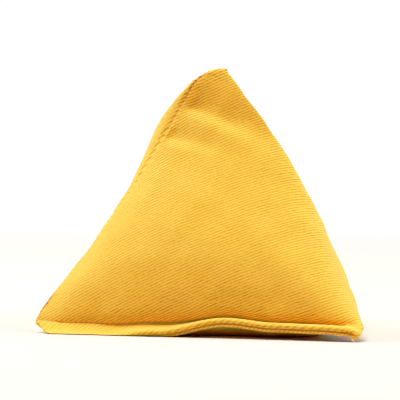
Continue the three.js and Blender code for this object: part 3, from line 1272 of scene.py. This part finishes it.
@dataclass(frozen=True, kw_only=True)
class Stitches(Threadwork):
    """A row of stitches along a line of the cloth, each a small slanting arc of thread."""

    pitch: float
    length: float
    width: float
    radius: float = 0.13
    sides: int = 6
    arc_steps: int = 6
    rise: float = 0.18
    smallest: float = 0.8
    largest: float = 1.15
    seed: int = 7

    def sizes(self) -> dict[str, float | int]:
        """The node tree's own inputs by name, with lengths in metres."""
        names = ("Pitch", "Length", "Width", "Rise", "Radius")
        return {**{name: getattr(self, name.lower()) * MM for name in names}, "Seed": self.seed}

    def laid(self, tree: Tree, path: Socket, inputs: bpy.types.NodeOutputs) -> Socket:
        """Lays one stitch at every pitch, square to the cloth and a little uneven in size.

        Args:
            tree: the node tree.
            path: the path as a curve.
            inputs: the tree's inputs.

        Returns:
            The output that gives the stitches.
        """
        add = partial(add_node, tree)
        links = {"Curve": path, "Length": inputs["Pitch"]}
        even = add("GeometryNodeResampleCurve", {"mode": "LENGTH"}, links)
        slant = add("ShaderNodeCombineXYZ", None, {"X": inputs["Length"], "Y": inputs["Width"]})
        upright = add("ShaderNodeCombineXYZ", None, {"Z": inputs["Rise"]})
        ends = {}
        for name, way, share in (("Start", slant, -0.5), ("Middle", upright, 2.0), ("End", slant, 0.5)):
            scaled = add("ShaderNodeVectorMath", {"operation": "SCALE", "Scale": share}, {0: way.outputs[0]})
            ends[name] = scaled.outputs[0]
        arc = add("GeometryNodeCurveQuadraticBezier", {"Resolution": self.arc_steps}, ends)
        stitch = self.thread_along(tree, arc.outputs[0], inputs["Radius"])
        outward = add("GeometryNodeInputNamedAttribute", {"data_type": "FLOAT_VECTOR", "Name": OUTWARD})
        tangent = add("GeometryNodeInputTangent")
        align = "FunctionNodeAlignRotationToVector"
        standing = add(align, {"axis": "Z"}, {"Vector": outward.outputs["Attribute"]})
        links = {"Rotation": standing.outputs[0], "Vector": tangent.outputs[0]}
        facing = add(align, {"axis": "X", "pivot_axis": "Z"}, links)
        spread = {"data_type": "FLOAT", 2: self.smallest, 3: self.largest}
        uneven = add("FunctionNodeRandomValue", spread, {"Seed": inputs["Seed"]})
        links = {"Points": even.outputs[0], "Instance": stitch, "Rotation": facing.outputs[0]}
        placed = add("GeometryNodeInstanceOnPoints", None, {**links, "Scale": uneven.outputs[1]})
        return placed.outputs[0]


@dataclass(frozen=True, kw_only=True)
class LooseThread(Threadwork):
    """The short end of sewing thread that is left where the closing lip ends."""

    name: str = "loose_thread_end"
    radius: float = 0.2
    sides: int = 8
    steps: int = 24
    way: tuple[Triple, ...] = (
        (47.6, -0.6, 1.9),
        (47.8, -1.4, 1.7),
        (48.0, -1.9, 1.2),
        (48.1, -2.2, 0.7),
        (48.5, -2.3, 0.4),
    )

    def laid(self, tree: Tree, path: Socket, inputs: bpy.types.NodeOutputs) -> Socket:
        """Runs one thread smoothly along the path.

        Args:
            tree: the node tree.
            path: the path as a curve.
            inputs: the tree's inputs.

        Returns:
            The output that gives the thread.
        """
        add = partial(add_node, tree)
        smooth = add("GeometryNodeCurveSplineType", {"spline_type": "CATMULL_ROM"}, {0: path})
        even = add("GeometryNodeResampleCurve", {"Count": self.steps}, {"Curve": smooth.outputs[0]})
        return self.thread_along(tree, even.outputs[0], inputs["Radius"])


@dataclass(frozen=True)
class ClosingLip:
    """The closing lip along the front: two turned-in edges, sewn together behind their folds.

    upper and lower are how thick they are. The lip narrows to its ends, which lie inset from the corners.
    """

    form: BagForm
    width: float = 4.4
    upper: float = 1.75
    lower: float = 1.15
    groove: float = 0.9
    left_inset: float = 5.5
    left_step: float = 1.5
    left_step_length: float = 7.0
    right_inset: float = 1.8
    end_length: float = 12.0
    left_rounding: float = 0.8
    right_rounding: float = 2.2
    clearance: float = 0.3
    smoothing: int = 3
    sewn_at: float = 0.4    # share of the width where the seam runs
    thinnest: float = 0.01
    shear: float = -1.05    # sewing drags the turned-in edges along, so the ribs stand steeper there

    def section(self) -> Array:
        """The lip's section from the front panel round both folds to the base.

        Returns:
            One row for each point: how far out from the bag, and how far up.
        """
        width, upper, lower = self.width, self.upper, self.lower
        return np.array([
            [width * 0.30, upper * 0.85],
            [width * 0.72, upper],
            [width * 0.95, upper * 0.82],
            [width, upper * 0.45],
            [width * 0.94, upper * 0.10],
            [width - self.groove, 0.0],
            [width * 0.92, -lower * 0.20],
            [width * 0.95, -lower * 0.55],
            [width * 0.86, -lower * 0.92],
            [width * 0.60, -lower],
        ])

    @property
    def groove_row(self) -> int:
        """The row of the section's smooth points at the bottom of its groove."""
        return 6 * self.smoothing

    def columns(self, share: Array, upper_edge: Array, lower_edge: Array) -> Array:
        """Places the lip's points.

        Args:
            share: how far along the front each column is.
            upper_edge: the front panel's own point at each column.
            lower_edge: the base panel's own point at each column.

        Returns:
            An array of columns, rows down the section, and x, y and z.
        """
        sewn = self.form.between(Corner.LEFT, Corner.RIGHT, share)
        droop = np.radians(self.form.lip_column(share, "droop"))
        rise = self.form.lip_column(share, "rise")
        from_left = share * EDGE_LENGTH
        from_right = EDGE_LENGTH - from_left
        slant = self.left_inset * clamped(1.0 - from_left / self.end_length)
        sewn[:, X] += self.left_step * clamped(1.0 - from_left / self.left_step_length)
        sewn[:, X] -= self.right_inset * clamped(1.0 - from_right / self.end_length)
        full = self.rounded(from_left / self.left_rounding) * self.rounded(from_right / self.right_rounding)
        middle = self.width * self.sewn_at
        rows = [upper_edge]
        for place_out, place_up in self.section():
            point = sewn.copy()
            out, up = middle + (place_out - middle) * full, place_up * full
            point[:, X] += out / self.width * slant
            point[:, Y] -= out * np.cos(droop) + up * np.sin(droop)
            point[:, Z] += up * np.cos(droop) - out * np.sin(droop) - rise
            point[:, Z] = np.maximum(self.clearance, point[:, Z])
            rows.append(point)
        rows.append(lower_edge)
        return self.smoothed(np.stack(rows, axis=1))

    def rounded(self, share: Array) -> Array:
        """How full the lip is near an end, which closes in a quarter round."""
        return np.sqrt(np.maximum(1.0 - (1.0 - clamped(share)) ** 2, self.thinnest))

    def smoothed(self, columns: Array) -> Array:
        """Runs a smooth curve through the rows of every column.

        Args:
            columns: an array of columns, rows, and x, y and z.

        Returns:
            The same with more rows.
        """
        padded = np.concatenate([columns[:, :1], columns, columns[:, -1:]], axis=1)
        rows = []
        for k in range(columns.shape[1] - 1):
            before, here, there, after = (padded[:, k + step] for step in range(4))
            for part in np.arange(self.smoothing) / self.smoothing:
                rows.append(0.5 * (
                    2 * here
                    + (there - before) * part
                    + (2 * before - 5 * here + 4 * there - after) * part**2
                    + (3 * here - before - 3 * there + after) * part**3
                ))
        rows.append(columns[:, -1])
        return np.stack(rows, axis=1)

    def cloth_places(self, columns: Array, upper_edge: Array, lower_edge: Array) -> tuple[Array, Array]:
        """Where the lip's points lie on the flat strip.

        Args:
            columns: the lip's points.
            upper_edge: the flat place of the front panel's own point at each column.
            lower_edge: the flat place of the base panel's own point at each column.

        Returns:
            The places as seen from the front panel's side and from the base panel's side, in millimetres.
        """
        steps = np.linalg.norm(np.diff(columns, axis=1), axis=2)
        down = np.concatenate([np.zeros((len(columns), 1)), np.cumsum(steps, axis=1)], axis=1)
        up = down[:, -1:] - down
        front = upper_edge[:, None] + np.stack([self.shear * down, -down], axis=2)
        base = lower_edge[:, None] + np.stack([self.shear * up, -up], axis=2)
        return front, base


@dataclass
class BeanBag:
    """The filled bag: its four panels, its seams and its closing lip, as one closed piece."""

    form: BagForm = BagForm()
    filling: Filling = Filling()
    unevenness: Unevenness = Unevenness()
    layout: StripLayout = StripLayout()
    left_seam: Seam = Seam(Corner.LEFT, Corner.TOP, Corner.BACK)
    back_seam: Seam = Seam(Corner.BACK, Corner.TOP, Corner.LEFT)
    steps: int = 196
    crowding: float = 1.35
    even_steps: int = 160
    fine_rounds: int = 20
    crease_rounds: int = 4
    stitch_lift: float = -0.12
    closing_pitch: float = 3.0
    closing_length: float = 0.9
    closing_width: float = 1.0
    closing_until: float = 0.97    # share of the front that the closing stitches run along
    lowest_stitch: float = 1.2

    def __post_init__(self) -> None:
        """Makes the fine grid and the lip."""
        self.grid = ClothGrid(self.form, self.steps, crowding=self.crowding)
        self.lip = ClosingLip(self.form)
        self.points = self.shape()
        self.flat = self.layout.places(self.form, self.grid)

    def shape(self) -> Array:
        """Places every point of the four panels, and keeps how deep in shade each lies.

        Returns:
            One row of x, y and z for each point.
        """
        grid = self.grid
        points = grid.formed()
        even = ClothGrid(self.form, self.even_steps)
        formed = even.formed()
        rounds = round((self.form.bend_spread * self.even_steps / EDGE_LENGTH) ** 2)
        points += even.finer(even.averaged(formed, rounds, even.softness()) - formed, grid)
        points = grid.averaged(points, self.fine_rounds, grid.softness())
        relief, self.shade = np.add(self.left_seam.relief(grid), self.back_seam.relief(grid))
        coarse = ClothGrid(self.form, self.filling.steps, open_lip=False)
        creases = even.averaged(coarse.finer(self.filling.creases(coarse), even), self.crease_rounds)
        relief += even.finer(creases, grid)[:, 0]
        relief += self.unevenness.relief(points)
        points += normals_of(points, grid.all_faces()) * relief[:, None]
        front, base = self.lip_numbers("front"), self.lip_numbers("base")
        points[front, Z] += self.form.lip_gap / 2
        points[np.setdiff1d(base, front), Z] -= self.form.lip_gap / 2
        points[:, Z] = np.maximum(points[:, Z], 0.0)
        return points

    def lip_columns(self) -> Array:
        """Places the points of the closing lip.

        Returns:
            An array of columns, rows down the section, and x, y and z.
        """
        upper = self.lip_numbers("front")
        share = self.grid.shares[upper, Corner.RIGHT.value]
        lower = self.lip_numbers("base")
        return self.lip.columns(share, self.points[upper], self.points[lower])

    def lip_numbers(self, panel: str) -> Array:
        """Finds a panel's own points along the lip.

        Args:
            panel: the front or the base.

        Returns:
            Their numbers from left to right.
        """
        steps, numbers = self.steps, self.grid.numbers[panel]
        place = np.arange(steps + 1)
        return numbers[steps - place, place if panel == "front" else 0]

    def lip_faces(self, rows: int, first: int) -> tuple[Array, Array]:
        """Makes the lip's faces.

        Args:
            rows: rows in each column, with the two panels' own points at its ends.
            first: the number of the lip's first own point.

        Returns:
            The faces, and for each face corner its column and row.
        """
        own = first + np.arange((self.steps + 1) * (rows - 2)).reshape(self.steps + 1, rows - 2)
        upper, lower = self.lip_numbers("front")[:, None], self.lip_numbers("base")[:, None]
        numbers = np.concatenate([upper, own, lower], axis=1)
        column, row = np.meshgrid(np.arange(self.steps), np.arange(rows - 1), indexing="ij")
        column, row = column.ravel(), row.ravel()
        here, below = (column, row), (column, row + 1)
        next_here, next_below = (column + 1, row), (column + 1, row + 1)
        corners = [np.stack([np.stack(c, 1) for c in (here, below, next_below)], 1)]
        corners.append(np.stack([np.stack(c, 1) for c in (here, next_below, next_here)], 1))
        for side, order in ((0, slice(None)), (self.steps, slice(None, None, -1))):
            loop = np.stack([np.full(rows, side), np.arange(rows)], axis=1)[order]
            fan = [[loop[0], loop[k + 1], loop[k]] for k in range(1, rows - 1)]
            corners.append(np.array(fan))
        places = np.concatenate(corners)
        faces = numbers[places[:, :, 0], places[:, :, 1]]
        whole = (faces[:, 0] != faces[:, 1]) & (faces[:, 1] != faces[:, 2]) & (faces[:, 2] != faces[:, 0])
        return faces[whole], places[whole]

    def panel_places(self, panel: Panel) -> Array:
        """Where a panel's face corners lie on the flat strip, in millimetres."""
        return self.flat[panel.name][self.grid.faces[panel.name]]

    def lip_places(self, columns: Array, places: Array) -> Array:
        """Where the lip's face corners lie on the flat strip.

        Args:
            columns: the lip's points.
            places: the column and row of each face corner.

        Returns:
            One row of x and y in millimetres for each face corner.
        """
        edges = [self.flat[panel][self.lip_numbers(panel)] for panel in ("front", "base")]
        front, base = self.lip.cloth_places(columns, *edges)
        from_front = places[:, :, 1].max(axis=1) <= self.lip.groove_row
        column, row = places[:, :, 0], places[:, :, 1]
        return np.where(from_front[:, None, None], front[column, row], base[column, row])

    def sew(self, thread: Material) -> list[Piece]:
        """Makes the stitches that show in the seams and in the lip's groove, and the loose end of thread.

        Args:
            thread: the thread's material.

        Returns:
            The pieces.
        """
        normals = normals_of(self.points, self.grid.all_faces())
        rows = []
        for name, seam in (("left_seam_stitches", self.left_seam), ("back_seam_stitches", self.back_seam)):
            points, outward = seam.line(self.points, normals, self.grid, self.stitch_lift)
            sizes = {"pitch": seam.stitch_pitch, "length": seam.stitch_length, "width": seam.stitch_width}
            rows.append(Stitches(name=name, **sizes).build(points, thread, outward))
        groove = self.lip_columns()[:, self.lip.groove_row]
        share = self.grid.shares[self.lip_numbers("front"), Corner.RIGHT.value]
        groove = groove[(share < self.closing_until) & (groove[:, Z] > self.lowest_stitch)]
        outward = np.tile((0.0, -1.0, 0.0), (len(groove), 1))
        sizes = {"pitch": self.closing_pitch, "length": self.closing_length, "width": self.closing_width}
        rows.append(Stitches(name="closing_stitches", **sizes).build(groove, thread, outward))
        loose = LooseThread()
        rows.append(loose.build(np.array(loose.way), thread))
        return rows

    def build(self, cloth: Material) -> Piece:
        """Makes the bag's object.

        Args:
            cloth: the cloth's material.

        Returns:
            The piece, which stands for the frame's own solid.
        """
        columns = self.lip_columns()
        rows = columns.shape[1]
        lip_faces, lip_corners = self.lip_faces(rows, len(self.points))
        points = np.concatenate([self.points, columns[:, 1:-1].reshape(-1, 3)])
        faces = np.concatenate([self.grid.all_faces(), lip_faces])
        places = [self.panel_places(panel) for panel in self.form.panels]
        places.append(self.lip_places(columns, lip_corners))
        piece = new_object("bean_bag_cloth", (points - FORM_MIDDLE) * MM, faces)
        layer = piece.data.uv_layers.new(name="cloth")
        flat = (np.concatenate(places) + UV_MARGIN) / UV_SPAN
        layer.data.foreach_set("uv", flat.ravel())
        # the panels' points carry the painted seam shade, and the lip's own points carry 1 for pressed
        values = np.zeros((2, len(points)))
        values[0, :len(self.points)] = self.shade
        values[1, len(self.points):] = 1.0
        for name, value in zip((PAINTED_SHADE, PRESSED), values):
            piece.data.attributes.new(name, "FLOAT", "POINT").data.foreach_set("value", value)
        piece.data.shade_smooth()
        piece.data.materials.append(cloth)
        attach(piece, "root")
        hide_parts("bag")
        return piece


@dataclass(frozen=True)
class StudioCamera:
    """The camera, with places in the form's millimetres and angles in degrees."""

    look: Triple = (-8.8, 27.5, 41.5)
    pivot: Triple = (0.0, 30.0, 40.0)
    azimuth: float = 16.0
    elevation: float = 2.0
    distance: float = 700.0
    focal_pixels: float = 2180.0
    frame_pixels: float = 400.0
    sensor: float = 36.0

    def build(self) -> Piece:
        """Makes the camera and gives it to the scene.

        Returns:
            The camera.
        """
        around, above = math.radians(self.azimuth), math.radians(self.elevation)
        level = math.cos(above)
        back = np.array([math.sin(around) * level, -math.cos(around) * level, math.sin(above)])
        data = bpy.data.cameras.new("studio_camera")
        data.sensor_width = self.sensor
        data.lens = self.focal_pixels * self.sensor / self.frame_pixels
        place = np.array(self.pivot) + back * self.distance
        aim = Vector((np.array(self.look) - place) * MM)
        camera = place_aimed("studio_camera", data, Vector((place - FORM_MIDDLE) * MM), aim)
        bpy.context.scene.camera = camera
        return camera


@dataclass(frozen=True)
class SoftLight:
    """A large soft light, by its place and size in metres and its power in watts."""

    name: str
    place: Triple
    size: float
    power: float

    def build(self) -> Piece:
        """Makes the light, aimed at the bag.

        Returns:
            The light.
        """
        data = bpy.data.lights.new(self.name, "AREA")
        data.shape = "DISK"
        data.size = self.size
        data.energy = self.power
        place = Vector(self.place)
        return place_aimed(self.name, data, place, Vector(BAG_HEART) - place)


@dataclass(frozen=True)
class Studio:
    """A white studio: a pale floor, surroundings that are dimmer on the camera's side, and soft lights.

    The tones are points of the camera's response: light in the scene, and light in the picture.
    """

    lights: tuple[SoftLight, ...] = (
        SoftLight("left_light", (-0.85, -0.02, 0.60), 0.5, 5.2),
        SoftLight("right_light", (0.88, -0.06, 0.40), 0.5, 3.6),
        SoftLight("top_light", (-0.12, -0.28, 1.17), 0.5, 12.0),
    )
    floor_colour: str = "#D0CAC3"
    floor_size: float = 12.0
    fade_from: float = 0.22   # metres behind the bag, where the floor starts to fade into white
    fade_over: float = 0.60
    glow: float = 1.05        # strength of that white
    bright: float = 1.02      # the surroundings' greatest strength, and their least
    dim: float = 0.0
    backwards: float = 1.0    # how much brighter they get towards the back and upwards, from their level
    upwards: float = 1.2
    level: float = 0.22
    dark_tones: tuple[tuple[float, float], ...] = (
        (0.02, 0.010),
        (0.06, 0.062),
        (0.11, 0.125),
        (0.22, 0.18),
        (0.36, 0.36),
    )
    red_tones: tuple[tuple[float, float], ...] = (
        (0.04, 0.055),
        (0.30, 0.30),
        (0.50, 0.50),
        (0.66, 0.73),
        (0.82, 0.865),
        (0.94, 0.925),
    )

    def build(self) -> None:
        """Makes the floor, the surroundings and the lights."""
        self.build_floor()
        self.build_surroundings()
        for light in self.lights:
            light.build()
        self.set_tones()

    def set_tones(self) -> None:
        """Gives the picture a camera's tones: deeper darks, and a fuller red in bright yellow."""
        view = bpy.context.scene.view_settings
        view.view_transform = "Standard"
        view.use_curve_mapping = True
        red, _, _, combined = view.curve_mapping.curves
        for curve, tones in ((combined, self.dark_tones), (red, self.red_tones)):
            for light, shown in tones:
                curve.points.new(light, shown)
        view.curve_mapping.update()

    def build_floor(self) -> None:
        """Makes the pale floor, which isn't part of the object and fades into the white at some distance."""
        floor = new_floor("studio_floor", self.floor_size / 2)
        material = bpy.data.materials.new("white_card")
        add = partial(add_node, emptied(material))
        place = add("ShaderNodeTexCoord")
        parts = add("ShaderNodeSeparateXYZ", None, {0: place.outputs["Object"]})
        reach = {"From Min": self.fade_from, "From Max": self.fade_from + self.fade_over}
        soft = {"interpolation_type": "SMOOTHSTEP", **reach}
        fade = add("ShaderNodeMapRange", soft, {"Value": parts.outputs[Y]})
        card = add("ShaderNodeBsdfDiffuse", {"Color": hex_to_linear(self.floor_colour), "Roughness": 0.5})
        glow = add("ShaderNodeEmission", {"Color": hex_to_linear(WHITE), "Strength": self.glow})
        mixed = {0: fade.outputs[0], 1: card.outputs[0], 2: glow.outputs[0]}
        surface = add("ShaderNodeMixShader", None, mixed)
        add("ShaderNodeOutputMaterial", None, {0: surface.outputs[0]})
        floor.data.materials.append(material)

    def build_surroundings(self) -> None:
        """Makes white surroundings that are dimmer on the side the camera stands on."""
        world = bpy.data.worlds.new("white_studio")
        bpy.context.scene.world = world
        add = partial(add_node, emptied(world))
        place = add("ShaderNodeTexCoord")
        parts = add("ShaderNodeSeparateXYZ", None, {0: place.outputs["Generated"]})
        weight = {"operation": "MULTIPLY_ADD", 1: self.backwards, 2: self.level}
        back = add("ShaderNodeMath", weight, {0: parts.outputs[Y]})
        weight = {"operation": "MULTIPLY_ADD", 1: self.upwards}
        share = add("ShaderNodeMath", weight, {0: parts.outputs[Z], 2: back.outputs[0]})
        ends = {"To Min": self.dim, "To Max": self.bright}
        strength = add("ShaderNodeMapRange", ends, {"Value": share.outputs[0]})
        glow = add("ShaderNodeBackground", {"Color": hex_to_linear(WHITE)}, {"Strength": strength.outputs[0]})
        add("ShaderNodeOutputWorld", None, {0: glow.outputs[0]})


def main() -> None:
    """Builds the camera, the bag and the studio, and reports each piece."""
    logging.basicConfig(level=logging.INFO, format="%(message)s")
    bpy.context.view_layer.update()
    StudioCamera().build()
    bag = BeanBag()
    pieces = [bag.build(CottonDrill().build()), *bag.sew(SewingThread().build())]
    for piece in pieces:
        LOG.info("%s: %d faces", piece.name, len(piece.data.polygons))
    Studio().build()


if __name__ == "__main__":
    main()
